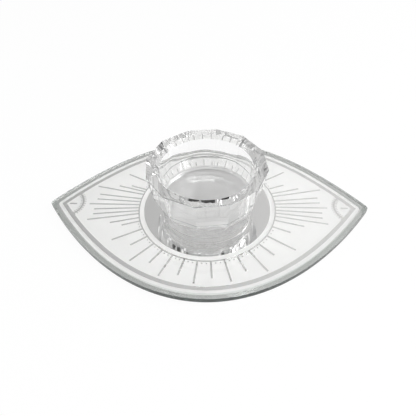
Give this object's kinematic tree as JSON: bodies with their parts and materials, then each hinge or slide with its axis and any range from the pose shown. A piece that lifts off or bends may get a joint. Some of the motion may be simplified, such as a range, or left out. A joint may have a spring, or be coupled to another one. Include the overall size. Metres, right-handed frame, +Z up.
{
  "type": "mirror candle holder",
  "caption": "Eye-shaped mirror glass plate with a ray pattern under a faceted clear crystal cup that holds a tealight.",
  "frame": {"origin": "middle of the rest plane under the plate, on the axis of the cup", "axes": "+X along the plate from tip to tip, +Y to the back long edge, +Z up along the cup's axis"},
  "size_m": [0.1478, 0.1002, 0.0292],
  "materials": {
    "plate_glass": "clear float glass, ground bevel",
    "silvering": "mirror silver under glass",
    "white_film": "matte white",
    "crystal": "polished facets",
    "clear_bond": "clear cured adhesive",
    "clear_bumper": "clear soft polyurethane"
  },
  "bodies": {
    "root": {"glass_plate": "plate_glass", "silver_iris": "silvering", "silver_rays": "silvering", "silver_border": "silvering", "silver_dashes": "silvering", "white_backing": "white_film", "crystal_cup": "crystal", "cup_bond": "clear_bond", "bumper_front_left": "clear_bumper", "bumper_front_right": "clear_bumper", "bumper_back_left": "clear_bumper", "bumper_back_right": "clear_bumper", "adhesive_front_left": "clear_bond", "adhesive_front_right": "clear_bond", "adhesive_back_left": "clear_bond", "adhesive_back_right": "clear_bond"}
  },
  "joints": []
}
